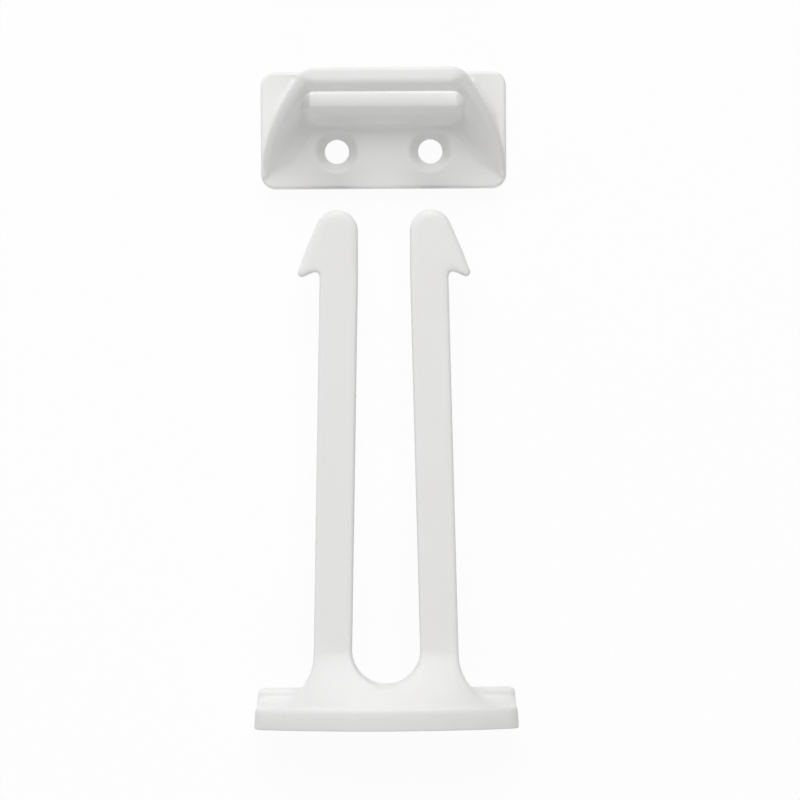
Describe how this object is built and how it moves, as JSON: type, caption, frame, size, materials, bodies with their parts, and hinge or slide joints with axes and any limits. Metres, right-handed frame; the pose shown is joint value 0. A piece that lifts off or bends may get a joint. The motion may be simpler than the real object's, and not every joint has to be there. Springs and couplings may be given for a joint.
{
  "type": "drawer lock",
  "caption": "Child-safety drawer lock: a slotted hood on a screw plate, and a catch with long barbed spring arms on a screw base.",
  "frame": {"origin": "middle of the pair in plan, on the plane that both pieces lie on", "axes": "+Y along the arms from the base of the catch towards the keeper, +Z out of the keeper's plate, X across the arms; the pair is symmetric about X = 0"},
  "size_m": [0.0458, 0.1144, 0.0175],
  "materials": {
    "white_plastic": "satin moulded plastic"
  },
  "bodies": {
    "keeper": {"keeper": "white_plastic"},
    "catch": {"catch": "white_plastic"}
  },
  "joints": [
    {"name": "catch_travel", "type": "slide", "parent": "keeper", "child": "catch", "axis": [0, 1, 0], "range_m": [0, 0.023]}
  ]
}
